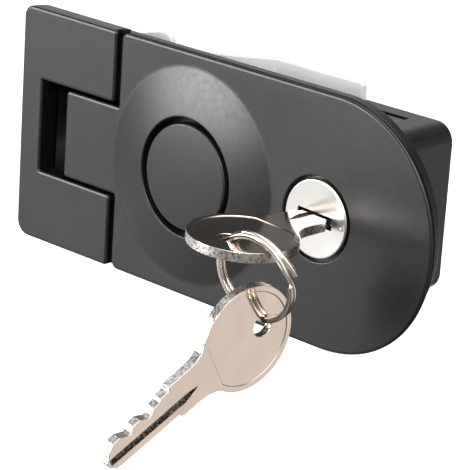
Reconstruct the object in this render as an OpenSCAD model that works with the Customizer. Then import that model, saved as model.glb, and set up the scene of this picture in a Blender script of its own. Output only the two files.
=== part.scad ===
// Flush compression lever latch for a thin panel: a fixed C-shaped face plate, a lifting lever with a domed push button,
// a key lock, and a bell-crank pawl behind the panel. Millimetres.
// Frame: X along the latch to the lever's free end, Y into the panel, Z up.
// Origin: centre of the panel cut-out, on the panel's outer plane.

/* [Face] */
// Width of the fixed C-shaped plate
plate_w = 28; // [26:0.5:28.5]
// Height of the fixed plate and flange
face_h = 50; // [49:0.5:52]
// Thickness of the lever's plate
lever_t = 2.5; // [2.4:0.05:2.6]
// Height of the lever's hinge tongue
tongue_h = 18.4; // [16:0.2:19]

/* [Dome and button] */
// Radius of the dome at its base
dome_r = 23; // [21:0.5:24]
// Height of the dome above the face at the button's rim
dome_rise = 1.8; // [1.2:0.1:2.2]
// Radius of the release button
button_r = 10.75; // [10:0.05:11.2]
// Radius of the pocket around the button
pocket_r = 12.35; // [12:0.05:13]

/* [Lock] */
// Radius of the lock's face
lock_r = 7.95; // [7.6:0.05:8.1]
// Radius of the hole around the lock's face
lock_hole_r = 8.55; // [8.4:0.05:9]

/* [Box behind the panel] */
// Height of the box
box_h = 34.6; // [34:0.2:36]
// Depth of the box behind the flange
box_d = 21.5; // [21:0.5:24]

/* [Key] */
// Radius of the key's bow
bow_r = 10.8; // [10:0.1:11]
// Thickness of the key
key_t = 2; // [1.8:0.05:2]
// Mean radius of the split ring
ring_r = 8.6; // [8.4:0.1:8.8]

/* [Hidden] */
$fn = 64;

// The modules below are drawn from the plate's left end, the face plane and the centreline.
origin_x = 50.5;
origin_y = 6;
flange_y0 = 2.7;
flange_y1 = 5;
gasket_y1 = 6;
box_y1 = flange_y1 + box_d;
box_x0 = 4.4;
box_x1 = 96.6;
well_x0 = 6;
well_x1 = 94.5;
well_h = 29;
lever_x0 = 30.3;
end_x = 89.1;
flange_x = 88;
lever_r = face_h / 2 + 0.45;
tongue_x0 = 14.5;
notch_h = 20.6;
pin_x = 17.5;
pin_y = 9;
pin_r = 2;
button_x = 51.6;
lock_x = 85.7;
catch_y0 = 8;
catch_y1 = 10.9;
rail_y1 = 11.05;
pawl_y0 = 25;
pawl_y1 = 27.5;
clip_t = 1.5;
clip_front = 9.6;
clip_back = 14;
cam_y0 = 21.1;
plug_r = 5.6;
key_roll = -2.8;
bow_y = -20.3;
bow_hole_y = -24.3;
ring_at = [91.9, -22.65, -5.5];
ring_turn = [103, 0, 2.4];
spare_at = [91.65, -24.4, -17.1];
spare_turn = [-101.68, -58.93, -84.59];

black = [0.10, 0.10, 0.105];
nickel = [0.80, 0.77, 0.73];
zinc = [0.72, 0.75, 0.79];
steel = [0.60, 0.61, 0.63];
rubber = [0.05, 0.05, 0.05];

module at_origin() translate([-origin_x, -origin_y, 0]) children();
// extrudes a drawing in X and Z from y0 to y1
module slab(y0, y1) translate([0, y1, 0]) rotate([90, 0, 0]) linear_extrude(y1 - y0) children();
module rod_y(x, z, y0, y1, r) translate([x, y1, z]) rotate([90, 0, 0]) cylinder(h = y1 - y0, r = r);
module box(x0, x1, y0, y1, z0, z1) translate([x0, y0, z0]) cube([x1 - x0, y1 - y0, z1 - z0]);
module rrect(x0, x1, z0, z1, r) {
  translate([x0 + r, z0]) square([x1 - x0 - 2 * r, z1 - z0]);
  translate([x0, z0 + r]) square([x1 - x0, z1 - z0 - 2 * r]);
  for (x = [x0 + r, x1 - r], z = [z0 + r, z1 - r]) translate([x, z]) circle(r = r);
}
module plate_2d() intersection() {
  rrect(0, plate_w + 10, -face_h / 2, face_h / 2, 2);
  translate([0, -face_h]) square([plate_w, 2 * face_h]);
}
module flange_2d(inset) {
  // the part under the lever stands a little inside the lever's outline, most of all at the round end
  h = face_h / 2 - inset;
  k = h - 0.4;
  rrect(inset, plate_w, -h, h, 1.2);
  translate([plate_w - 2, -k]) square([flange_x - plate_w + 2, 2 * k]);
  translate([flange_x, 0]) circle(r = k, $fn = 128);
}
module lever_2d() {
  translate([lever_x0, -lever_r]) square([end_x - lever_x0, 2 * lever_r]);
  translate([end_x, 0]) circle(r = lever_r, $fn = 128);
  translate([tongue_x0, -tongue_h / 2]) square([lever_x0 - tongue_x0 + 1, tongue_h]);
}
// height of the dome at radius r, on a sphere through its base and the pocket's rim
dome_k = dome_rise / (dome_r * dome_r - pocket_r * pocket_r);
function dome_z(r) = (dome_r * dome_r - r * r) * dome_k;
module dome() translate([button_x, 0, 0]) rotate([90, 0, 0]) rotate_extrude($fn = 128)
  polygon(concat([[pocket_r - 1, -0.5], [dome_r, -0.5]],
    [for (i = [0 : 10]) let (r = dome_r + (pocket_r - 1 - dome_r) * i / 10) [r, dome_z(r)]]));

module housing() color(black) at_origin() difference() {
  union() {
    slab(0, flange_y0 + 0.1) plate_2d();
    slab(flange_y0, flange_y1) flange_2d(0);
    slab(flange_y1 - 0.1, box_y1) rrect(box_x0, box_x1, -box_h / 2, box_h / 2, 4);
  }
  // notch for the tongue, well for the lever's works, and the open box
  box(well_x0, lever_x0 + 2, -1, flange_y1 + 0.1, -notch_h / 2, notch_h / 2);
  box(lever_x0 - 0.3, well_x1, 2, flange_y1 + 0.1, -well_h / 2, well_h / 2);
  slab(flange_y1, box_y1 + 1) rrect(well_x0, well_x1, -well_h / 2, well_h / 2, 2);
  // bores of the hinge pin
  translate([pin_x, pin_y, -box_h]) cylinder(h = 2 * box_h, r = pin_r + 0.02);
  // way out for the pawl
  box(box_x0 - 1, well_x0 + 3, 22, box_y1 + 1, -12, 12);
  // slots for the catch and for the lock's cam, in the upper wall
  box(button_x - 4.6, button_x + 4.6, catch_y0 - 0.6, catch_y1 + 0.6, well_h / 2 - 1, box_h / 2 + 1);
  box(lock_x - 8.5, lock_x + 2.8, cam_y0 - 0.15, cam_y0 + 1.55, well_h / 2 - 1, box_h / 2 + 1);
  // grooves for the mounting clip
  for (s = [0, 1]) mirror([0, 0, s])
    box(box_x0 - 1, 86, clip_back - 0.05, clip_back + clip_t + 0.05, box_h / 2 - 1.3, box_h / 2 + 1);
}

module panel_gasket() color(rubber) at_origin() slab(flange_y1, gasket_y1) difference() {
  flange_2d(2);
  rrect(box_x0 - 0.2, box_x1 + 0.2, -box_h / 2 - 0.2, box_h / 2 + 0.2, 4.2);
}

// outline of the clip's upper half, from its left end round to the inner corner of the bridge
clip_half = [[0.8, 20.9], [2.3, 22.4], [23.2, 22.4], [25, 22.85], [27, 23.4], [29, 23.95], [31, 24.35], [32.4, 24.5],
  [33.4, 24.4], [34.1, 24], [34.5, 23.3], [34.5, 22.7], [41, 22.7], [46, 23], [50.5, 23.6], [60.5, 24.3],
  [82.5, 24.3], [83, 23.8], [83, box_h / 2 - 1.15], [61, box_h / 2 - 1.15], [61, box_h / 2 + 0.15], [4.2, box_h / 2 + 0.15]];
module mounting_clip() color(zinc) at_origin() intersection() {
  translate([0, 0, -30]) linear_extrude(60) polygon([[0.8, clip_front], [50.5, clip_front], [60.5, clip_back],
    [83, clip_back], [83, clip_back + clip_t], [60.1, clip_back + clip_t], [50.1, clip_front + clip_t],
    [0.8, clip_front + clip_t]]);
  slab(clip_front - 1, clip_back + 3) polygon(concat(clip_half,
    [for (i = [len(clip_half) - 1 : -1 : 0]) [clip_half[i][0], -clip_half[i][1]]]));
}

module lever_pin() color(steel) at_origin() translate([pin_x, pin_y, 0]) {
  cylinder(h = box_h - 0.8, r = pin_r, center = true);
  cylinder(h = box_h - 0.2, r = pin_r - 0.3, center = true);
}

module lever() color(black) at_origin() difference() {
  union() {
    slab(0, lever_t) lever_2d();
    dome();
    rod_y(button_x, 0, lever_t - 0.1, 5, 14.2);
    for (x = [button_x - 8, button_x + 4.2]) box(x, x + 3.8, lever_t - 0.1, rail_y1, -13, 13);
    box(button_x - 4.3, button_x + 4.3, lever_t - 0.1, rail_y1, -14.2, -13);
    // hinge knuckle and tail
    translate([pin_x, pin_y, 0]) cylinder(h = tongue_h, r = 4.4, center = true);
    translate([0, 0, -tongue_h / 2]) linear_extrude(tongue_h)
      polygon([[15.2, lever_t - 0.1], [28, lever_t - 0.1], [21.8, 9.5], [13.4, 9.5]]);
    translate([0, 0, -7]) linear_extrude(14)
      polygon([[13.2, 8.5], [21.8, 8.5], [22.2, 19], [24, 21], [24, pawl_y0], [12.5, pawl_y0], [12.5, 21], [13.8, 19]]);
  }
  // button pocket and stem guide
  rod_y(button_x, 0, -6, 2.2, pocket_r);
  rod_y(button_x, 0, 2, 6, 4.06);
  // lock seat
  rod_y(lock_x, 0, -1, 1.5, lock_hole_r);
  rod_y(lock_x, 0, 1.4, lever_t + 0.5, 7.2);
  // hinge bore
  translate([pin_x, pin_y, 0]) cylinder(h = tongue_h + 2, r = 3, center = true);
  // screw holes of the pawl and of the catch's cover
  for (z = [-4.2, 4.2]) rod_y(18.2, z, 15.5, pawl_y0 + 1, 2.05);
  for (x = [-6.1, 6.1], z = [-10.5, 10.5]) rod_y(button_x + x, z, 5.5, rail_y1 + 1, 1.1);
}

module lever_bushes() color(rubber) at_origin() translate([pin_x, pin_y, 0])
  for (s = [0, 1]) mirror([0, 0, s]) difference() {
    union() {
      translate([0, 0, 4]) cylinder(h = tongue_h / 2 - 3.5, r = 2.98);
      translate([0, 0, tongue_h / 2]) cylinder(h = 14.3 - tongue_h / 2, r = 3.8);
    }
    translate([0, 0, 3]) cylinder(h = 13, r = pin_r + 0.05);
  }

module pawl() color(zinc) at_origin() slab(pawl_y0, pawl_y1) difference() {
  union() {
    polygon([[24, -7.5], [24, 7.5], [2, 8], [-9, 7], [-9, -7], [2, -8]]);
    translate([-9.5, 0]) circle(r = 7);
  }
  for (z = [-4.2, 4.2]) translate([18.2, z]) circle(r = 2.1);
  translate([-9.5, 0]) circle(r = 3.06);
}

module pawl_screws() color(steel) at_origin() for (z = [-4.2, 4.2]) difference() {
  union() {
    rod_y(18.2, z, 16, pawl_y1 + 0.2, 2);
    rod_y(18.2, z, pawl_y1, pawl_y1 + 2.2, 3.5);
  }
  translate([18.2, pawl_y1 + 2.3, z]) rotate([90, 0, 0]) cylinder(h = 1.5, r = 1.7, $fn = 6);
}

module grip_bolt() color(steel) at_origin() {
  rod_y(-9.5, 0, 24, 34, 3);
  rod_y(-9.5, 0, 22, pawl_y0, 5.5);
  rod_y(-9.5, 0, 21.5, 22.1, 5);
}

module grip_nut() color(zinc) at_origin() difference() {
  translate([-9.5, pawl_y1 + 4, 0]) rotate([90, 0, 0]) cylinder(h = 4, r = 5.6, $fn = 6);
  rod_y(-9.5, 0, pawl_y1 - 1, pawl_y1 + 5, 3.03);
}

module lock_body() color(nickel) at_origin() difference() {
  union() {
    rod_y(lock_x, 0, 0.05, 1.5, lock_r);
    rod_y(lock_x, 0, -0.15, 0.1, lock_r - 0.25);
    rod_y(lock_x, 0, 1.4, 17, 7.1);
  }
  rod_y(lock_x, 0, -1, 18, plug_r + 0.06);
}

module lock_nut() color(zinc) at_origin() difference() {
  rod_y(lock_x, 0, lever_t, lever_t + 2.7, 8.3);
  rod_y(lock_x, 0, lever_t - 1, lever_t + 4, 7.13);
  for (a = [0 : 90 : 270]) translate([lock_x, 0, 0]) rotate([0, a, 0]) box(7.5, 9, lever_t + 1.2, lever_t + 4, -1.2, 1.2);
}

module catch_cover() color(zinc) at_origin() slab(rail_y1, rail_y1 + 1.5) difference() {
  rrect(button_x - 8, button_x + 8, -13, 13, 1.5);
  translate([button_x - 2.8, -3.5]) square([5.6, 7.1]);
  for (x = [-6.1, 6.1], z = [-10.5, 10.5]) translate([button_x + x, z]) circle(r = 1.15);
}

module cover_screws() color(steel) at_origin() for (x = [-6.1, 6.1], z = [-10.5, 10.5]) difference() {
  union() {
    rod_y(button_x + x, z, 6, rail_y1 + 1.6, 1.05);
    rod_y(button_x + x, z, rail_y1 + 1.5, rail_y1 + 2.7, 1.9);
  }
  box(button_x + x - 0.25, button_x + x + 0.25, rail_y1 + 2.1, rail_y1 + 3, z - 3, z + 3);
}

module release_button() color(black) at_origin() difference() {
  union() {
    rod_y(button_x, 0, -dome_rise, 0, button_r);
    rod_y(button_x, 0, -dome_rise - 0.15, 0, button_r - 0.3);
    rod_y(button_x, 0, -0.1, 5.9, 4);
    // wedge that draws the catch down
    translate([button_x - 2.4, 0, 0]) rotate([90, 0, 90]) linear_extrude(4.8)
      polygon([[5.5, -3.2], [7.8, -3.2], [11, 0], [11, 3.2], [5.5, 3.2]]);
    rod_y(button_x, 1.8, 10.9, 14, 1.4);
  }
  difference() {
    rod_y(button_x, 1.8, rail_y1 + 1.6, rail_y1 + 2.3, 3);
    rod_y(button_x, 1.8, rail_y1, rail_y1 + 3, 1);
  }
}

module button_clip() color(steel) at_origin() slab(rail_y1 + 1.65, rail_y1 + 2.25) difference() {
  translate([button_x, 1.8]) circle(r = 5);
  translate([button_x, 1.8]) circle(r = 1.05);
  translate([button_x - 0.9, 1.8]) square([1.8, 8]);
}

module catch_slide() color(zinc) at_origin() difference() {
  box(button_x - 3.9, button_x + 3.9, catch_y0, catch_y1, -7.5, 13.9);
  translate([button_x - 2.8, 0, 0]) rotate([90, 0, 90]) linear_extrude(5.6)
    polygon([[7, -4.07], [12, 0.93], [12, 5.6], [7, 5.6]]);
  // lead-in at the tip
  translate([button_x - 5, 0, 0]) rotate([90, 0, 90]) linear_extrude(10)
    polygon([[catch_y0 + 0.9, 14.1], [catch_y1 + 0.1, 11.9], [catch_y1 + 0.1, 14.1]]);
}

module catch_spring() color(steel) at_origin() translate([button_x, (catch_y0 + catch_y1) / 2, -12.98])
  linear_extrude(5.46, twist = -360 * 6, slices = 120, $fn = 10) translate([0.95, 0]) circle(r = 0.28, $fn = 10);

module lock_plug() color(nickel) at_origin() translate([lock_x, 0, 0]) difference() {
  union() {
    rod_y(0, 0, -0.15, 17, plug_r);
    rod_y(0, 0, 16.9, cam_y0, 3);
    box(-2, 2, cam_y0 - 0.1, cam_y0 + 1.4, -2, 2);
  }
  rotate([0, -key_roll, 0]) {
    box(-4.7, 4.7, -1, 2, -1.3, 1.9);
    box(-3.45, 3.45, -1, 16.6, -key_t / 2 - 0.1, key_t / 2 + 0.1);
  }
  rod_y(0, 0, 17.4, cam_y0 + 2, 1.22);
}

module lock_cam() color(zinc) at_origin() translate([lock_x, 0, 0]) slab(cam_y0, cam_y0 + 1.4) difference() {
  union() {
    circle(r = 4.4);
    translate([-16.2, -3.6]) square([16.2, 3.2]);
  }
  translate([-2.03, -2.03]) square(4.06);
}

module cam_screw() color(steel) at_origin() translate([lock_x, 0, 0]) difference() {
  union() {
    rod_y(0, 0, 17.6, cam_y0 + 1.5, 1.2);
    rod_y(0, 0, cam_y0 + 1.4, cam_y0 + 3.2, 3.2);
  }
  for (a = [0, 90]) rotate([0, a, 0]) box(-1.6, 1.6, cam_y0 + 2.2, cam_y0 + 4, -0.3, 0.3);
}

// the key lies in X and Y with its tip toward +Y, and Y = 0 at the lock's face
module key_shape() difference() {
  translate([0, 0, -key_t / 2]) linear_extrude(key_t) difference() {
    union() {
      translate([0, bow_y]) circle(r = bow_r, $fn = 96);
      polygon([[-6.2, -12.4], [6.2, -12.4], [5.1, -10.2], [4.3, -8.2], [4.15, -6], [4.1, -1.5], [3.3, -1.1], [3.2, 0.9],
        [2.7, 1.4], [2.5, 2.9], [1.4, 3.9], [1.45, 4.8], [2.55, 6.4], [2.45, 8.1], [1.6, 8.9], [1.35, 9.5], [2.5, 11.5],
        [2.4, 13.2], [1.3, 14.4], [0.3, 15.1], [-0.5, 16], [-1.8, 15.6], [-3, 14.5], [-3.2, 13.3], [-3.2, -1.2], [-4.1, -1.9],
        [-4.15, -6], [-4.3, -8.2], [-5.1, -10.2]]);
    }
    translate([0, bow_hole_y]) circle(r = 2.4);
  }
  // a groove along each side of the blade
  for (s = [-1, 1]) translate([0, 0, s * key_t / 2]) linear_extrude(0.9, center = true)
    polygon([[-0.6, -7.4], [-0.15, -4.5], [-0.2, 17], [-1.7, 17], [-1.8, -3.4]]);
}

module key() color(nickel) at_origin() translate([lock_x, 0, 0]) rotate([0, -key_roll, 0]) key_shape();

module key_ring() color(nickel) at_origin() translate(ring_at) rotate(ring_turn)
  rotate_extrude($fn = 96) translate([ring_r, 0]) for (s = [-1, 1]) translate([0, s * 0.37])
    polygon([[-0.65, -0.2], [-0.45, -0.4], [0.45, -0.4], [0.65, -0.2], [0.65, 0.2], [0.45, 0.4], [-0.45, 0.4], [-0.65, 0.2]]);

module spare_key() color(nickel) at_origin() translate(spare_at) rotate(spare_turn) translate([0, -bow_y, 0]) key_shape();

housing();
panel_gasket();
mounting_clip();
lever_pin();
lever();
lever_bushes();
pawl();
pawl_screws();
grip_bolt();
grip_nut();
lock_body();
lock_nut();
catch_cover();
cover_screws();
release_button();
button_clip();
catch_slide();
catch_spring();
lock_plug();
lock_cam();
cam_screw();
key();
key_ring();
spare_key();
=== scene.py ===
import bpy
import math
import bmesh
from mathutils import Euler, Matrix, Vector
from mathutils.geometry import delaunay_2d_cdt


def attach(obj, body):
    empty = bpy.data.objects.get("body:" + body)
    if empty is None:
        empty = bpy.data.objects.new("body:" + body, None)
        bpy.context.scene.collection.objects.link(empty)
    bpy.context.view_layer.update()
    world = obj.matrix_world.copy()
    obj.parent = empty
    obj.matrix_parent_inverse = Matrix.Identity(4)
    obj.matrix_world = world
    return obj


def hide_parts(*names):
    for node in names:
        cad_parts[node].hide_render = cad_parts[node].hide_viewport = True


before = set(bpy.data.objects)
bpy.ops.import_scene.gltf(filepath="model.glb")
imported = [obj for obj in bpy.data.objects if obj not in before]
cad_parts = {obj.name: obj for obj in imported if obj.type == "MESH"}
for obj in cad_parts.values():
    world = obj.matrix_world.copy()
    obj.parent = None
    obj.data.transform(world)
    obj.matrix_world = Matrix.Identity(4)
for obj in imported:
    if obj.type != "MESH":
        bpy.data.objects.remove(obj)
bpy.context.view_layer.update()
scene = bpy.context.scene
MM = 0.001


def W(x, y, z):
    """A point measured from the plate's left end, the face plane and the centreline, in mm."""
    return Vector(((x - 50.5) * MM, (y - 6.0) * MM, z * MM))


# ---------------------------------------------------------------- materials
def nodes_of(name):
    m = bpy.data.materials.new(name)
    m.use_nodes = True
    nt = m.node_tree
    bsdf = nt.nodes["Principled BSDF"]
    return m, nt, bsdf


def add(nt, kind, **values):
    n = nt.nodes.new(kind)
    for k, v in values.items():
        setattr(n, k, v)
    return n


def noise(nt, coord, scale, detail=3.0, rough=0.5, stretch=None):
    n = add(nt, "ShaderNodeTexNoise")
    n.inputs["Scale"].default_value = scale
    n.inputs["Detail"].default_value = detail
    n.inputs["Roughness"].default_value = rough
    src = coord.outputs["Object"]
    if stretch:
        mp = add(nt, "ShaderNodeMapping")
        mp.inputs["Scale"].default_value = stretch
        nt.links.new(src, mp.inputs["Vector"])
        src = mp.outputs["Vector"]
    nt.links.new(src, n.inputs["Vector"])
    return n


def ramp(nt, src, lo, hi, a, b):
    r = add(nt, "ShaderNodeMapRange")
    r.inputs["From Min"].default_value = lo
    r.inputs["From Max"].default_value = hi
    r.inputs["To Min"].default_value = a
    r.inputs["To Max"].default_value = b
    nt.links.new(src, r.inputs["Value"])
    return r.outputs["Result"]


def mix_colour(nt, fac, a, b):
    m = add(nt, "ShaderNodeMix", data_type="RGBA")
    m.inputs["A"].default_value = (*a, 1)
    m.inputs["B"].default_value = (*b, 1)
    nt.links.new(fac, m.inputs["Factor"])
    return m.outputs["Result"]


def bump(nt, height, dist, strength, normal=None):
    b = add(nt, "ShaderNodeBump")
    b.inputs["Strength"].default_value = strength
    b.inputs["Distance"].default_value = dist
    nt.links.new(height, b.inputs["Height"])
    if normal is not None:
        nt.links.new(normal, b.inputs["Normal"])
    return b.outputs["Normal"]


def black_coat():
    m, nt, s = nodes_of("satin_black_coat")
    c = add(nt, "ShaderNodeTexCoord")
    broad = noise(nt, c, 60, 3)
    grain = noise(nt, c, 2600, 2, 0.55)
    speck = noise(nt, c, 900, 4, 0.6)
    nt.links.new(mix_colour(nt, ramp(nt, broad.outputs["Fac"], 0.3, 0.7, 0, 1), (0.005, 0.005, 0.0052), (0.008, 0.008, 0.0082)), s.inputs["Base Color"])
    nt.links.new(ramp(nt, speck.outputs["Fac"], 0.25, 0.75, 0.28, 0.37), s.inputs["Roughness"])
    s.inputs["Specular IOR Level"].default_value = 0.5
    nt.links.new(bump(nt, grain.outputs["Fac"], 0.00004, 0.25), s.inputs["Normal"])
    return m


def nickel():
    m, nt, s = nodes_of("polished_nickel")
    c = add(nt, "ShaderNodeTexCoord")
    broad = noise(nt, c, 140, 4)
    fine = noise(nt, c, 1800, 3, 0.6)
    s.inputs["Metallic"].default_value = 1.0
    nt.links.new(mix_colour(nt, ramp(nt, broad.outputs["Fac"], 0.3, 0.7, 0, 1), (0.76, 0.68, 0.61), (0.83, 0.75, 0.68)), s.inputs["Base Color"])
    nt.links.new(ramp(nt, fine.outputs["Fac"], 0.25, 0.75, 0.08, 0.15), s.inputs["Roughness"])
    nt.links.new(bump(nt, fine.outputs["Fac"], 0.00001, 0.12), s.inputs["Normal"])
    return m


def chrome():
    m, nt, s = nodes_of("satin_nickel")
    c = add(nt, "ShaderNodeTexCoord")
    broad = noise(nt, c, 160, 4)
    fine = noise(nt, c, 2200, 3, 0.6)
    s.inputs["Metallic"].default_value = 1.0
    nt.links.new(mix_colour(nt, ramp(nt, broad.outputs["Fac"], 0.3, 0.7, 0, 1), (0.60, 0.592, 0.57), (0.66, 0.652, 0.632)), s.inputs["Base Color"])
    nt.links.new(ramp(nt, fine.outputs["Fac"], 0.25, 0.75, 0.22, 0.28), s.inputs["Roughness"])
    nt.links.new(bump(nt, fine.outputs["Fac"], 0.00001, 0.03), s.inputs["Normal"])
    return m


def zinc():
    m, nt, s = nodes_of("bright_zinc")
    c = add(nt, "ShaderNodeTexCoord")
    broad = noise(nt, c, 90, 4)
    lines = noise(nt, c, 220, 3, 0.6, stretch=(0.12, 4, 4))
    s.inputs["Metallic"].default_value = 1.0
    nt.links.new(mix_colour(nt, ramp(nt, broad.outputs["Fac"], 0.3, 0.7, 0, 1), (0.60, 0.64, 0.70), (0.72, 0.75, 0.78)), s.inputs["Base Color"])
    nt.links.new(ramp(nt, lines.outputs["Fac"], 0.25, 0.75, 0.25, 0.42), s.inputs["Roughness"])
    nt.links.new(bump(nt, lines.outputs["Fac"], 0.00002, 0.2), s.inputs["Normal"])
    return m


def steel():
    m, nt, s = nodes_of("bright_steel")
    c = add(nt, "ShaderNodeTexCoord")
    broad = noise(nt, c, 200, 4)
    fine = noise(nt, c, 2400, 2, 0.6)
    s.inputs["Metallic"].default_value = 1.0
    nt.links.new(mix_colour(nt, ramp(nt, broad.outputs["Fac"], 0.3, 0.7, 0, 1), (0.48, 0.49, 0.50), (0.60, 0.60, 0.61)), s.inputs["Base Color"])
    nt.links.new(ramp(nt, fine.outputs["Fac"], 0.25, 0.75, 0.22, 0.36), s.inputs["Roughness"])
    nt.links.new(bump(nt, fine.outputs["Fac"], 0.00001, 0.15), s.inputs["Normal"])
    return m


def dark_plain(name, a, b, r0, r1, scale):
    m, nt, s = nodes_of(name)
    c = add(nt, "ShaderNodeTexCoord")
    n = noise(nt, c, scale, 4, 0.6)
    nt.links.new(mix_colour(nt, ramp(nt, n.outputs["Fac"], 0.3, 0.7, 0, 1), a, b), s.inputs["Base Color"])
    nt.links.new(ramp(nt, n.outputs["Fac"], 0.25, 0.75, r0, r1), s.inputs["Roughness"])
    nt.links.new(bump(nt, n.outputs["Fac"], 0.00003, 0.3), s.inputs["Normal"])
    return m


def painted_shade_nickel(name, lo, hi, a, b, metal):
    """Nickel streaked light and dark, its base colour darkened as painted shade: on the key's cut edges over real cut
    streaks, in the groove and the eye hole as painted shade only.
    """
    m, nt, s = nodes_of(name)
    c = add(nt, "ShaderNodeTexCoord")
    fine = noise(nt, c, 2100, 3, 0.6)
    s.inputs["Metallic"].default_value = metal
    nt.links.new(mix_colour(nt, ramp(nt, fine.outputs["Fac"], lo, hi, 0, 1), a, b), s.inputs["Base Color"])
    nt.links.new(ramp(nt, fine.outputs["Fac"], 0.25, 0.75, 0.28, 0.40), s.inputs["Roughness"])
    nt.links.new(bump(nt, fine.outputs["Fac"], 0.00001, 0.1), s.inputs["Normal"])
    return m


def dull_zinc():
    m = zinc()
    m.name = "dull_zinc"
    s = m.node_tree.nodes["Principled BSDF"]
    s.inputs["Metallic"].default_value = 0.1
    for n in m.node_tree.nodes:
        if n.bl_idname == "ShaderNodeMix":
            n.inputs["A"].default_value = (0.64, 0.645, 0.67, 1)
            n.inputs["B"].default_value = (0.70, 0.70, 0.725, 1)
    s.inputs["Specular IOR Level"].default_value = 0.8
    return m


BLACK, NICKEL, CHROME, ZINC, STEEL, DULL_ZINC = black_coat(), nickel(), chrome(), zinc(), steel(), dull_zinc()
RUBBER = dark_plain("gasket_rubber", (0.010, 0.010, 0.010), (0.020, 0.020, 0.020), 0.6, 0.85, 1200)
# a near-black coat with almost no sheen: painted shade on the lever's sides, the works behind it, the plate's notch and
# the keyway
SHADE_BLACK = dark_plain("black_coat_painted_shade", (0.003, 0.003, 0.003), (0.006, 0.006, 0.006), 0.55, 0.7, 900)
SHADE_BLACK.node_tree.nodes["Principled BSDF"].inputs["Specular IOR Level"].default_value = 0.04
# the key's cut side walls: real cut streaks, darkened as painted shade
KEY_EDGE_SHADE = painted_shade_nickel("cut_nickel_edge_painted_shade", 0.36, 0.54, (0.20, 0.188, 0.176), (0.74, 0.70, 0.66), 1.0)
# painted shade in the key's groove and on the eye hole's wall
KEY_GROOVE_SHADE = painted_shade_nickel("groove_painted_shade", 0.46, 0.62, (0.03, 0.026, 0.022), (0.30, 0.26, 0.23), 0.8)
ACETAL = dark_plain("black_acetal", (0.012, 0.012, 0.013), (0.020, 0.020, 0.021), 0.35, 0.5, 900)

BY_NODE = {"housing": BLACK, "lever": BLACK, "release_button": BLACK, "panel_gasket": RUBBER, "lever_bushes": ACETAL,
           "mounting_clip": DULL_ZINC, "pawl": ZINC, "grip_nut": ZINC, "lock_nut": ZINC, "catch_cover": ZINC, "catch_slide": ZINC,
           "lock_cam": ZINC, "lock_body": NICKEL, "lock_plug": NICKEL, "key": NICKEL, "key_ring": NICKEL, "spare_key": NICKEL}


# ---------------------------------------------------------------- drawing helpers
# An outline is a closed list of (u, v, nu, nv): a point and the normal that leaves the solid there.
# Outer loops run anticlockwise, hole loops clockwise; w points out of the drawing.
FACE = Matrix(((MM, 0, 0, -50.5 * MM), (0, 0, -MM, -6 * MM), (0, MM, 0, 0), (0, 0, 0, 1)))


def path(*items, step=0):
    """Corners (u, v, r) and arcs ("arc", cu, cv, r, a0, a1, n) joined by straight lines, anticlockwise."""
    ends = []
    for it in items:
        if it[0] == "arc":
            _, cu, cv, r, a0, a1, n = it
            pts = []
            for i in range(n + 1):
                t = math.radians(a0 + (a1 - a0) * i / n)
                sgn = 1 if a1 > a0 else -1
                pts.append((cu + r * math.cos(t), cv + r * math.sin(t), sgn * math.cos(t), sgn * math.sin(t)))
            ends.append(pts)
        else:
            ends.append(it)
    n = len(ends)

    def first(e):
        return e[0][:2] if isinstance(e, list) else e[:2]

    def last(e):
        return e[-1][:2] if isinstance(e, list) else e[:2]

    out = []
    for i, e in enumerate(ends):
        if isinstance(e, list):
            out += e
            continue
        u, v, r = e
        p = Vector((u, v))
        d0 = (p - Vector(last(ends[i - 1]))).normalized()
        d1 = (Vector(first(ends[(i + 1) % n])) - p).normalized()
        turn = d0.cross(d1)
        ang = math.atan2(turn, d0.dot(d1))
        if abs(ang) < 0.02:
            nn = (d0 + d1).normalized()
            out.append((u, v, nn.y, -nn.x))
            continue
        back = abs(r * math.tan(ang / 2))
        sgn = 1 if ang > 0 else -1
        start = p - d0 * back
        n0 = Vector((d0.y, -d0.x))
        centre = start - n0 * r * sgn
        k = max(2, int(abs(ang) / math.radians(90) * (7 if r > 1 else 5)) + 1)
        for j in range(k + 1):
            t = ang * j / k
            nn = Vector((n0.x * math.cos(t) - n0.y * math.sin(t), n0.x * math.sin(t) + n0.y * math.cos(t)))
            q = centre + nn * r * sgn
            out.append((q.x, q.y, nn.x, nn.y))
    if step:
        fine = []
        for i, q in enumerate(out):
            fine.append(q)
            q2 = out[(i + 1) % len(out)]
            if abs(q[2] * q2[2] + q[3] * q2[3] - 1) < 1e-6:
                k = int(math.hypot(q2[0] - q[0], q2[1] - q[1]) / step)
                for j in range(1, k + 1):
                    t = j / (k + 1)
                    fine.append((q[0] + (q2[0] - q[0]) * t, q[1] + (q2[1] - q[1]) * t, q[2], q[3]))
        out = fine
    return out


def hole(loop):
    return [(u, v, -nu, -nv) for u, v, nu, nv in reversed(loop)]


def ring_of(cu, cv, r, n=72):
    return [(cu + r * math.cos(2 * math.pi * i / n), cv + r * math.sin(2 * math.pi * i / n),
             math.cos(2 * math.pi * i / n), math.sin(2 * math.pi * i / n)) for i in range(n)]


def arc_profile(d0, w0, r, a0, a1, n):
    """A quarter round from normal angle a0 to a1 about the centre (d0, w0)."""
    return [(d0 + r * math.cos(math.radians(a0 + (a1 - a0) * i / n)),
             w0 + r * math.sin(math.radians(a0 + (a1 - a0) * i / n)), a0 + (a1 - a0) * i / n) for i in range(n + 1)]


def soft_edge(big=1.1, small=0.4, turn=65):
    """A front edge that starts to fall gently and then turns more tightly into the side."""
    c, s = math.cos(math.radians(turn)), math.sin(math.radians(turn))
    return (arc_profile(small * (c - 1) - big * c, -big, big, 90, turn, 4)
            + arc_profile(-small, (big - small) * s - big, small, turn, 0, 4)[1:])


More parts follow.
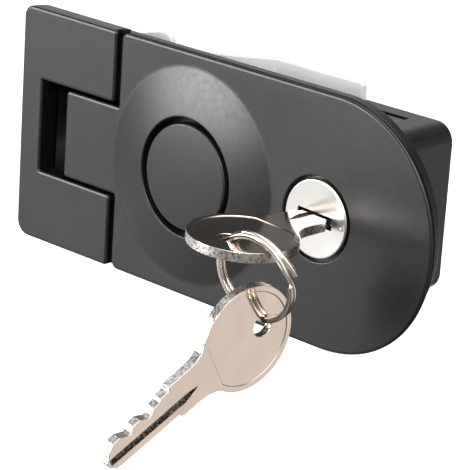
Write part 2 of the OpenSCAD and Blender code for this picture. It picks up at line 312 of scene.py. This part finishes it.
def leaning_side(w0, lean, r0=0.3, n=6):
    """A soft front edge, a side that leans in more and more, and a rounded back edge."""
    prof = soft_edge()
    top = prof[-1][1]
    foot = w0 + r0 - r0 * math.sin(math.radians(lean))
    step = (top - foot) / n
    d = 0.0
    for i in range(1, n + 1):
        d -= math.tan(math.radians(lean * (i - 0.5) / n)) * step
        prof.append((d, top - step * i, -lean * i / n))
    return prof + arc_profile(d - r0 * math.cos(math.radians(lean)), w0 + r0, r0, -lean, -90, 3)[1:]


def within(rims, x, y):
    """Whether a point lies inside an odd number of closed rims."""
    odd = False
    for rim in rims:
        x0, y0 = rim[-1]
        for x1, y1 in rim:
            if (y0 > y) != (y1 > y) and x < x0 + (y - y0) * (x1 - x0) / (y1 - y0):
                odd = not odd
            x0, y0 = x1, y1
    return odd


class Shape:
    def __init__(self):
        self.v, self.n, self.f = [], [], []

    def point(self, p, n):
        self.v.append(Vector(p))
        self.n.append(Vector(n).normalized())
        return len(self.v) - 1

    def sweep(self, loop, profile, drop=None):
        """Carries the profile (d, w, normal angle) along the loop and returns the rings."""
        rings = []
        for d, w, a in profile:
            t = math.radians(a)
            c, s = math.cos(t), math.sin(t)
            ring = []
            for u, v, nu, nv in loop:
                uu, vv = u + d * nu, v + d * nv
                h, gu, gv = drop(uu, vv) if drop else (0, 0, 0)
                ring.append(self.point((uu, vv, w - h), (c * nu + max(s, 0) * gu, c * nv + max(s, 0) * gv, s)))
            rings.append(ring)
        m = len(loop)
        for k in range(len(rings) - 1):
            for i in range(m):
                j = (i + 1) % m
                self.f.append((rings[k][i], rings[k + 1][i], rings[k + 1][j], rings[k][j]))
        return rings

    def cap(self, loops, up=True, extra=(), drop=None):
        """Fills the flat region between rings; extra points make a finer net for a curved face."""
        idx, edges = [], []
        for ring in loops:
            b = len(idx)
            idx += ring
            edges += [(b + i, b + (i + 1) % len(ring)) for i in range(len(ring))]
        w = self.v[loops[0][0]].z
        for u, v in extra:
            h, gu, gv = drop(u, v)
            idx.append(self.point((u, v, w0_of(loops, self, drop) - h), (gu, gv, 1)))
        pts = [Vector((self.v[i].x, self.v[i].y)) for i in idx]
        rims = [[(self.v[i].x, self.v[i].y) for i in ring] for ring in loops]
        _, _, tris, src, _, _ = delaunay_2d_cdt(pts, edges, [], 0, 1e-7)
        back = [idx[sv[0]] if sv else None for sv in src]
        for tri in tris:
            q = [back[i] for i in tri]
            if None in q or len(set(q)) < 3:
                continue
            a, b2, c2 = (self.v[i] for i in q)
            area2 = (b2.x - a.x) * (c2.y - a.y) - (b2.y - a.y) * (c2.x - a.x)
            if abs(area2) < 1e-9 or not within(rims, (a.x + b2.x + c2.x) / 3, (a.y + b2.y + c2.y) / 3):
                continue
            if (area2 > 0) != up:
                q.reverse()
            self.f.append(tuple(q))

    def close(self, ring, w, up=True):
        """A fan from a ring to its centre."""
        c = sum((self.v[i] for i in ring), Vector()) / len(ring)
        k = self.point((c.x, c.y, w), (0, 0, 1 if up else -1))
        m = len(ring)
        for i in range(m):
            self.f.append((ring[i], ring[(i + 1) % m], k) if up else (ring[(i + 1) % m], ring[i], k))

    def slab(self, outer, holes, w1, w0, r1, r0, seg=4, draft=0.0):
        """A plate between w0 (back) and w1 (front) with rounded edges r1 in front and r0 behind."""
        lean = math.degrees(math.atan2(draft, w1 - w0))
        prof = arc_profile(-r1, w1 - r1, r1, 90, -lean, seg) + arc_profile(-draft - r0, w0 + r0, r0, -lean, -90, max(2, seg // 2))
        sets = [self.sweep(l, prof) for l in [outer] + list(holes)]
        self.cap([s[0] for s in sets], True)
        self.cap([s[-1] for s in sets], False)

    def make(self, name, body, mat, matrix, *nodes):
        me = bpy.data.meshes.new(name)
        me.from_pydata([matrix @ p for p in self.v], [], self.f)
        rot = matrix.to_3x3().normalized()
        for q in me.polygons:
            q.use_smooth = True
        me.normals_split_custom_set_from_vertices([(rot @ k).normalized() for k in self.n])
        me.update()
        return adopt(name, me, body, mat, *nodes)


def parted(shape, test):
    """Two shapes: the faces whose middle passes the test, and the others."""
    out = (Shape(), Shape())
    maps = ({}, {})
    for f in shape.f:
        mid = sum((shape.v[i] for i in f), Vector()) / len(f)
        side = 0 if test(mid) else 1
        for i in f:
            if i not in maps[side]:
                maps[side][i] = out[side].point(shape.v[i], shape.n[i])
        out[side].f.append(tuple(maps[side][i] for i in f))
    return out


def w0_of(loops, shape, drop):
    i = loops[0][0]
    p = shape.v[i]
    return p.z + drop(p.x, p.y)[0]


def adopt(name, me, body, mat, *nodes):
    me.materials.clear()
    me.materials.append(mat)
    o = bpy.data.objects.new(name, me)
    scene.collection.objects.link(o)
    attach(o, body)
    if nodes:
        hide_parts(*nodes)
    return o


def behind(name, node, body, mat, y):
    """The part of a solid that lies behind the plane y, in mm from the face."""
    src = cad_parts[node]
    bm = bmesh.new()
    bm.from_mesh(src.data)
    bmesh.ops.transform(bm, matrix=src.matrix_world, verts=bm.verts)
    bmesh.ops.remove_doubles(bm, verts=bm.verts, dist=2e-6)
    bmesh.ops.bisect_plane(bm, geom=bm.verts[:] + bm.edges[:] + bm.faces[:], dist=1e-7,
                           plane_co=(0, (y - 6) * MM, 0), plane_no=(0, 1, 0), clear_inner=True)
    bmesh.ops.recalc_face_normals(bm, faces=bm.faces)
    me = bpy.data.meshes.new(name)
    bm.to_mesh(me)
    bm.free()
    for q in me.polygons:
        q.use_smooth = True
    me.set_sharp_from_angle(angle=math.radians(25))
    return adopt(name, me, body, mat, node)


# ---------------------------------------------------------------- lever
BX, LX, EX, EV, ER = 51.6, 85.7, 89.0, -0.3, 25.5
DOME_R = 22.4
DOME_K = 1.8 / (DOME_R ** 2 - 12.35 ** 2)


def dome_w(r):
    return (DOME_R ** 2 - r * r) * DOME_K


def crown(u, v):
    """The face falls away a little toward the round end: depth and the normal's lean."""
    k = 0.0002
    du = max(0.0, u - 76.0)
    t = min(1.0, max(0.0, (u - 72.0) / 26.0))
    s = t * t * (3 - 2 * t)
    q = min(1.0, max(0.0, (u - 92.0) / 7.0))
    ridge = 0.05 * q * q * (3 - 2 * q) * math.exp(-((v - 5.0) / 3.0) ** 2) * (1 - 0.6 * min(1.0, max(0.0, (u - 100.0) / 10.0)))
    return k * (du * du + s * v * v), CROWN * k * du, CROWN * k * s * (v if v < 0 else 0.75 * v) + ridge


CROWN = 8.8
lever = Shape()
outline = path((14.0, -9.4, 0.9), (29.8, -9.4, 0.3), (29.8, -25.5, 1.7), ("arc", EX, EV, ER, -90, 90, 72),
               (29.8, 25.3, 1.5), (29.8, 9.4, 0.3), (14.0, 9.4, 0.9), step=2.0)
side = soft_edge() + [(-0.05, -0.85, -15), (-0.18, -1.1, -38), (-0.4, -1.28, -60), (-1.3, -1.45, -82),
                                                   (-1.5, -1.65, -30), (-1.52, -2.5, 0), (-1.52, -2.5, -90)]
for i, (u, v, nu, nv) in enumerate(outline):
    # the lower right of the round end is a little fuller
    if u > EX and v < EV:
        a = math.atan2(EV - v, u - EX)
        b = 0.38 * math.sin(2 * a) ** 2
        outline[i] = (u + b * math.cos(a), v - b * math.sin(a), nu, nv)
edge = lever.sweep(outline, side[:9], crown)
prof = [(0, 0, 90), (0.35, 0.012, 92.5), (0.75, 0.06, 97.5)]
for i in range(11):
    r = 21.9 + (13.0 - 21.9) * i / 10
    prof.append((23.0 - r, dome_w(r), 90 + math.degrees(math.atan(2 * r * DOME_K))))
rim = 0.3
zc = dome_w(12.65) - rim + 0.01
prof += [(23.0 - (12.35 + rim) + rim * math.cos(math.radians(t)), zc + rim * math.sin(math.radians(t)), t) for t in (95, 75, 55, 35, 15, 0)]
prof += [(10.65, -2.0, 0), (10.67, -2.12, 30), (10.78, -2.2, 90)]
dome = lever.sweep(hole(ring_of(BX, 0, 23.0, 128)), prof)
lever.close(list(reversed(dome[-1])), -2.2)
lockh = lever.sweep(hole(ring_of(LX, 0, 8.9, 96)),
                    [(0.35 * math.cos(math.radians(t)), -0.35 + 0.35 * math.sin(math.radians(t)), t) for t in (90, 67, 45, 22, 0)]
                    + [(0.35, -1.5, 0)], crown)
seat = lever.sweep(hole(ring_of(LX, 0, 8.55, 96)), [(0, -1.5, 90), (1.35, -1.5, 90)])
bore = lever.sweep(hole(ring_of(LX, 0, 7.2, 96)), [(0, -1.5, 0), (0, -2.5, 0)])
net = []
for i in range(0, 55):
    for j in range(-16, 17):
        u, v = 31.8 + i * 1.5 + (0.75 if j % 2 else 0), j * 1.5
        if u < 32 or abs(v - EV) > ER - 1.5 or math.hypot(u - BX, v) < 24.0 or math.hypot(u - LX, v) < 9.9:
            continue
        if u > EX and math.hypot(u - EX, v - EV) > ER - 1.5:
            continue
        net.append((u, v))
lever.cap([edge[0], dome[0], lockh[0]], True, net, crown)
lever.make("lever_face", "lever", BLACK, FACE, "lever")
brim = Shape()
low = brim.sweep(outline, side[8:], crown)
back = brim.sweep(hole(ring_of(LX, 0, 7.2, 96)), [(0, -2.5, -90)])
brim.cap([low[-1], back[0]], False)
# the lever's sides and the works behind it carry painted shade: near-black with almost no sheen
brim.make("lever_side", "lever", SHADE_BLACK, FACE, "lever")
behind("lever_works", "lever", "lever", SHADE_BLACK, 2.52)

# ---------------------------------------------------------------- fixed plate, flange and box
plate = Shape()
arms = path((-0.1, -25.55, 3.2), (28.2, -25.55, 0.8), (28.2, -10.1, 0.8), (6.2, -10.1, 0.3), (6.2, 10.1, 0.3), (28.2, 10.1, 0.8),
            (28.2, 25.2, 0.8), (-0.1, 25.3, 2.5))
side = leaning_side(-5, 10, 0.3, 8)
skin = plate.sweep(arms, side[:9])
plate.cap([skin[0]], True)
rest = Shape()
skin = rest.sweep(arms, side[8:])
rest.cap([skin[-1]], False)
notch, outside = parted(rest, lambda m: m.z > -4.9 and (m.x > 27.3 or (abs(m.y) < 10.6 and m.x > 5)))
plate.make("plate_face", "housing", BLACK, FACE, "housing")
outside.make("plate_side", "housing", BLACK, FACE, "housing")
plate = notch
# a low step in the gap beside each arm
for a, b in ((-25.2, -10.3), (10.3, 25.2)):
    plate.slab(path((27.2, a, 0.2), (29.3, a, 0.2), (29.3, b, 0.2), (27.2, b, 0.2)), [], -1.4, -2.9, 0.15, 0.05, 3)
# the notch and the steps in it carry painted shade
plate.make("plate_notch", "housing", SHADE_BLACK, FACE, "housing")
flange = Shape()
under = path((24, -24.7, 0.2), ("arc", 87.8, 0, 24.7, -90, 90, 72), (24, 24.7, 0.2), (24, 10.3, 0.2), (30, 10.3, 0.3), (30, 14.5, 0.5),
             (94.5, 14.5, 2), (94.5, -14.5, 2), (30, -14.5, 0.5), (30, -10.3, 0.3), (24, -10.3, 0.2))
flange.slab(under, [], -2.7, -5, 0.25, 0.3, 5)
flange.make("flange_rim", "housing", BLACK, FACE, "housing")
behind("box_walls", "housing", "housing", BLACK, 5.02)

# ---------------------------------------------------------------- release button
button = Shape()
lens = [(r - 11.15, 2.12 - 0.0032 * r * r, 90 - math.degrees(math.atan(0.0064 * r))) for r in (0.6, 2, 3.5, 5, 6.5, 8, 9.2, 10.65)]
disc = button.sweep(ring_of(BX, 0, 11.15, 96), lens + arc_profile(-0.5, 1.257, 0.5, 86, 0, 5) + [(0, 0.0, 0), (0, 0.0, -90)])
button.close(disc[0], 2.12)
button.close(disc[-1], 0.0, False)
button.make("button_face", "button", BLACK, FACE, "release_button")
behind("button_stem", "release_button", "button", BLACK, -0.05)

# ---------------------------------------------------------------- lock's face
def dish(u, v):
    """The face of the lock is a little hollow: depth and the normal's lean."""
    return 0.0033 * (63.2 - u * u - v * v), -0.0045 * u, -0.0045 * v


def dish_at(u, v):
    return dish(u - LX, v)


head = Shape()
outer = head.sweep(ring_of(LX, 0, 7.95, 96), arc_profile(-0.4, -0.25, 0.4, 90, 0, 5) + [(0, -1.5, 0), (0, -1.5, -90)], dish_at)
inner = head.sweep(hole(ring_of(LX, 0, 5.66, 96)), [(0, 0.15, 90), (0, 0.15, 0), (0, -1.6, 0), (0, -1.5, -90)], dish_at)
head.cap([outer[0], inner[0]], True)
head.cap([outer[-1], inner[-1]], False)
head.make("lock_face", "lever", CHROME, FACE, "lock_body")
behind("lock_barrel", "lock_body", "lever", NICKEL, 1.45)

# the turning plug: its face is flush with the head, and the keyway is a little wider in front
plug = Shape()
rim = plug.sweep(ring_of(0, 0, 5.655, 96), [(0, 0.15, 90)], dish)
wall = plug.sweep(ring_of(0, 0, 5.655, 96), [(0, 0.15, 0), (0, -1.6, 0)], dish)
slot = hole(path((-4.8, -1.3, 0.15), (4.25, -1.3, 0.15), (4.25, 1.35, 0.15), (-4.8, 1.35, 0.15)))
lip = plug.sweep(slot, [(0, 0.15, 90), (0.04, 0.11, 45), (0.06, 0.05, 0)], dish)
plug.cap([rim[0], lip[0]], True)
lock_at = FACE @ Matrix.Translation((85.7, 0, 0)) @ Matrix.Rotation(math.radians(-2.8), 4, "Z")
plug.make("plug_face", "lock_plug", CHROME, lock_at, "lock_plug")
way = Shape()
walls = way.sweep(slot, [(0.06, 0.05, 0), (0.06, -1.65, 0)], dish)
foot = way.sweep(slot, [(0.06, -1.85, 90)])
blade = way.sweep(hole(path((-3.45, -1.1, 0.1), (3.45, -1.1, 0.1), (3.45, 1.1, 0.1), (-3.45, 1.1, 0.1))), [(0, -1.85, 90)])
way.cap([foot[0], blade[0]], True)
# the keyway's walls and floor carry painted shade
way.make("plug_keyway", "lock_plug", SHADE_BLACK, lock_at, "lock_plug")
behind("plug_barrel", "lock_plug", "lock_plug", NICKEL, 0.6)

# ---------------------------------------------------------------- keys
def key_shapes():
    """The two faces, the cut edge and the grooves of a key."""
    k, rimmed, shade_walls = Shape(), Shape(), Shape()
    t = 1.0
    body = path((5.1, -10.2, 1.5), (4.3, -8.2, 2.0), (4.15, -6.0, 2.0), (4.1, -1.5, 0.25), (3.3, -1.1, 0.2), (3.2, 0.9, 0.2),
                (2.7, 1.4, 0.2), (2.5, 2.9, 0.25), (1.4, 3.9, 0.3), (1.45, 4.8, 0.3), (2.55, 6.4, 0.4), (2.45, 8.1, 0.3), (1.6, 8.9, 0.3),
                (1.35, 9.5, 0.3), (2.5, 11.5, 0.5), (2.4, 13.2, 0.4), (1.3, 14.4, 0.4), (0.3, 15.1, 0.3), (-0.5, 16.0, 0.3), (-1.8, 15.6, 0.4),
                (-3.0, 14.5, 0.5), (-3.2, 13.3, 0.5), (-3.2, -1.2, 0.3), (-4.1, -1.9, 0.7), (-4.15, -6.0, 2.0), (-4.3, -8.2, 2.0),
                (-5.1, -10.2, 1.5), ("arc", 0, -20.3, 10.8, 122.9, 417.1, 96))
    e = 0.1
    rimmed.sweep(body, [(0, t - e, 0), (0, e - t, 0)])
    field = hole(path(("arc", 0, -20.3, 9.75, 119, 421, 96)))
    groove = hole(path((-0.6, -7.5, 0.14), (-0.15, -4.5, 0.4), (-0.2, 15.2, 0.2), (-1.7, 15.2, 0.2), (-1.8, -3.4, 0.4)))
    eye = hole(ring_of(0, -24.3, 2.4, 48))
    for up in (True, False):
        g = 1 if up else -1

        def both(shape, loop, pr):
            rings = shape.sweep(loop, [(d, g * w, g * a) for d, w, a in pr])
            if not up:
                cnt = (len(pr) - 1) * len(loop)
                if cnt:
                    shape.f[-cnt:] = [tuple(reversed(q)) for q in shape.f[-cnt:]]
            return rings

        brink = both(k, body, arc_profile(-e, t - e, e, 90, 0, 4))
        fl = both(k, field, [(0, t, 90), (0.05, t - 0.015, 65), (0.12, t - 0.09, 40), (0.19, t - 0.165, 65), (0.24, t - 0.18, 90)])
        gr = both(k, groove, [(0, t, 90)])
        # the groove's walls and floor and the eye hole's wall carry painted shade
        both(shade_walls, groove, [(0, t, 15), (0.1, t - 0.42, 15)])
        gf = both(shade_walls, groove, [(0.1, t - 0.42, 90)])
        k.cap([brink[0], fl[0], gr[0]], up)
        shade_walls.cap([gf[0]], up)
        ey = both(k, eye, [(0.15 * math.cos(math.radians(x)), t - 0.33 + 0.15 * math.sin(math.radians(x)), x) for x in (90, 60, 30, 0)])
        both(shade_walls, eye, [(0.15, t - 0.33, 0), (0.15, 0, 0)])
        k.cap([fl[-1], ey[0]], up)
    return (k, "blank", NICKEL), (rimmed, "edge", KEY_EDGE_SHADE), (shade_walls, "groove", KEY_GROOVE_SHADE)


roll = Matrix.Rotation(math.radians(2.8), 4, "Y")
in_mm = Matrix.Translation((-50.5 * MM, -6 * MM, 0)) @ Matrix.Scale(MM, 4)
key_at = in_mm @ Matrix.Translation((85.7, 0, 0)) @ roll
spare_at = (in_mm @ Matrix.Translation((91.65, -24.4, -17.1)) @ Euler([math.radians(x) for x in (-101.68, -58.93, -84.59)], "XYZ").to_matrix().to_4x4()
            @ Matrix.Translation((0, 20.3, 0)))
for node, at in (("key", key_at), ("spare_key", spare_at)):
    for shape, part, mat in key_shapes():
        shape.make(node + "_" + part, node, mat, at, node)

# ---------------------------------------------------------------- split ring
def split_ring():
    k = Shape()
    n, m = 240, 16
    rows = []
    for i in range(n + 1):
        t = 0.015 + (1.97 * i / n)
        ang = 2 * math.pi * t + math.radians(RING_START)
        x = min(1, max(0, (t - 0.955) / 0.09))
        z = -0.47 + 0.94 * x * x * (3 - 2 * x)
        er = Vector((math.cos(ang), math.sin(ang), 0))
        flare = max(0, 1 - (t - 0.015) / 0.12) ** 1.6
        mean = 8.6 + 1.0 * flare
        z -= 0.25 * flare
        row = []
        for j in range(m):
            q = 2 * math.pi * j / m
            c, s = math.cos(q), math.sin(q)
            p = 2.6
            a = math.copysign(abs(c) ** (2 / p), c) * 0.6
            b = math.copysign(abs(s) ** (2 / p), s) * 0.46
            nn = Vector((abs(c) ** (2 - 2 / p) * math.copysign(1, c) / 0.6, abs(s) ** (2 - 2 / p) * math.copysign(1, s) / 0.46))
            row.append(k.point(er * (mean + a) + Vector((0, 0, z + b)), er * nn.x + Vector((0, 0, nn.y))))
        rows.append(row)
    for i in range(n):
        for j in range(m):
            j2 = (j + 1) % m
            k.f.append((rows[i][j], rows[i + 1][j], rows[i + 1][j2], rows[i][j2]))
    for row, sgn in ((rows[0], -1), (rows[-1], 1)):
        c = sum((k.v[q] for q in row), Vector()) / m
        tang = Vector((-c.y, c.x, 0)).normalized() * sgn
        e = [k.point(k.v[q], tang) for q in row]
        mid = k.point(c, tang)
        for j in range(m):
            j2 = (j + 1) % m
            k.f.append((e[j], e[j2], mid) if sgn < 0 else (e[j2], e[j], mid))
    return k


RING_START = 10
ring_at = in_mm @ Matrix.Translation((91.9, -22.65, -5.5)) @ Euler([math.radians(x) for x in (103, 0, 2.4)], "XYZ").to_matrix().to_4x4()
split_ring().make("split_ring", "key_ring", NICKEL, ring_at, "key_ring")

# ---------------------------------------------------------------- the other solids keep their own faces
DRAWN = {"lever", "housing", "release_button", "lock_body", "lock_plug", "key", "spare_key", "key_ring"}


def finish_node(o, mat, width):
    o.data.materials.clear()
    o.data.materials.append(mat)
    if not width:
        return
    w = o.modifiers.new("weld", "WELD")
    w.merge_threshold = 0.000002
    d = o.modifiers.new("planar", "DECIMATE")
    d.decimate_type = "DISSOLVE"
    d.angle_limit = math.radians(0.2)
    b = o.modifiers.new("bevel", "BEVEL")
    b.width = width
    b.segments = 2
    b.limit_method = "ANGLE"
    b.angle_limit = math.radians(35)
    b.harden_normals = True


for name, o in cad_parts.items():
    if name in DRAWN:
        continue
    finish_node(o, BY_NODE.get(name, STEEL), 0 if name in ("catch_spring", "lock_plug") else 0.00012)

# ---------------------------------------------------------------- camera
cam = bpy.data.cameras.new("camera")
cam.sensor_fit = "HORIZONTAL"
cam.sensor_width = 36.0
cam.lens = 188.42
cam.clip_start = 0.01
cam_o = bpy.data.objects.new("camera", cam)
scene.collection.objects.link(cam_o)
ahead = Vector((-0.6464, 0.6988, -0.3064)).normalized()
up = Vector((-0.2564, 0.1793, 0.9498))
right = ahead.cross(up).normalized()
up = right.cross(ahead)
rot = Matrix((right, up, -ahead)).transposed().to_4x4()
cam_o.matrix_world = Matrix.Translation(W(381.9, -342.7, 141.4)) @ rot
scene.camera = cam_o

# ---------------------------------------------------------------- floor and light
bpy.ops.mesh.primitive_plane_add(size=1, location=(-0.317, 0.348, -0.12), rotation=(0, 0, math.radians(42.8)))
floor = bpy.context.object
floor.name = "floor"
floor.scale = (0.5, 0.75, 1)
fm, fnt, fs = nodes_of("pale_floor")
fc = add(fnt, "ShaderNodeTexCoord")
fn = noise(fnt, fc, 9, 4)
fnt.links.new(mix_colour(fnt, ramp(fnt, fn.outputs["Fac"], 0.3, 0.7, 0, 1), (0.90, 0.90, 0.90), (0.93, 0.93, 0.93)), fs.inputs["Base Color"])
fs.inputs["Roughness"].default_value = 0.9
fs.inputs["Specular IOR Level"].default_value = 0.1
floor.data.materials.append(fm)

# The studio around the latch: soft boxes and walls, each a broad patch of sky in one direction.
world = bpy.data.worlds.new("studio")
scene.world = world
world.use_nodes = True
wt = world.node_tree
bg = wt.nodes["Background"]
bg.inputs["Strength"].default_value = 1.0
wc = add(wt, "ShaderNodeTexCoord")


def patch(total, az, el, full, none, colour):
    """Adds light from a direction: all of it within 'full' degrees, gone at 'none' degrees."""
    a, e = math.radians(az), math.radians(el)
    dot = add(wt, "ShaderNodeVectorMath", operation="DOT_PRODUCT")
    wt.links.new(wc.outputs["Generated"], dot.inputs[0])
    dot.inputs[1].default_value = (math.cos(e) * math.cos(a), math.cos(e) * math.sin(a), math.sin(e))
    r = add(wt, "ShaderNodeMapRange", interpolation_type="SMOOTHSTEP")
    r.inputs["From Min"].default_value = math.cos(math.radians(none))
    r.inputs["From Max"].default_value = math.cos(math.radians(full))
    wt.links.new(dot.outputs["Value"], r.inputs["Value"])
    sc = add(wt, "ShaderNodeVectorMath", operation="SCALE")
    sc.inputs[0].default_value = colour
    wt.links.new(r.outputs["Result"], sc.inputs["Scale"])
    if total is None:
        return sc.outputs["Vector"]
    sm = add(wt, "ShaderNodeVectorMath", operation="ADD")
    wt.links.new(total, sm.inputs[0])
    wt.links.new(sc.outputs["Vector"], sm.inputs[1])
    return sm.outputs["Vector"]


sky = None
for az, el, full, none, colour in (
        (224, 3, 6, 13, (10.5, 10.4, 10.3)),
        (240, 4, 6, 13, (12.3, 12.2, 12.0)),
        (306, 29, 4, 10, (26.0, 26.0, 26.0)),
        (222, 14, 5, 11, (8.0, 7.9, 7.8)),
        (128, 20, 14, 30, (0.62, 0.62, 0.62)),
        (215, -33, 16, 44, (0.54, 0.53, 0.52)),
        (227, -20, 6, 16, (0.51, 0.51, 0.52)),
        (52, 4, 10, 26, (0.3, 0.3, 0.3)),
        (42, -25, 12, 30, (0.74, 0.67, 0.62)),
        (325, 48, 25, 65, (1.4, 1.4, 1.4)),
        (0, 90, 15, 50, (1.6, 1.6, 1.6)),
        (313, 10, 30, 90, (0.16, 0.155, 0.15)),
        (210, -15, 8, 22, (0.2, 0.2, 0.2)),
        (0, -90, 179, 180, (0.08, 0.08, 0.08))):
    sky = patch(sky, az, el, full, none, colour)
wt.links.new(sky, bg.inputs["Color"])

scene.view_settings.view_transform = "Standard"
scene.view_settings.look = "None"
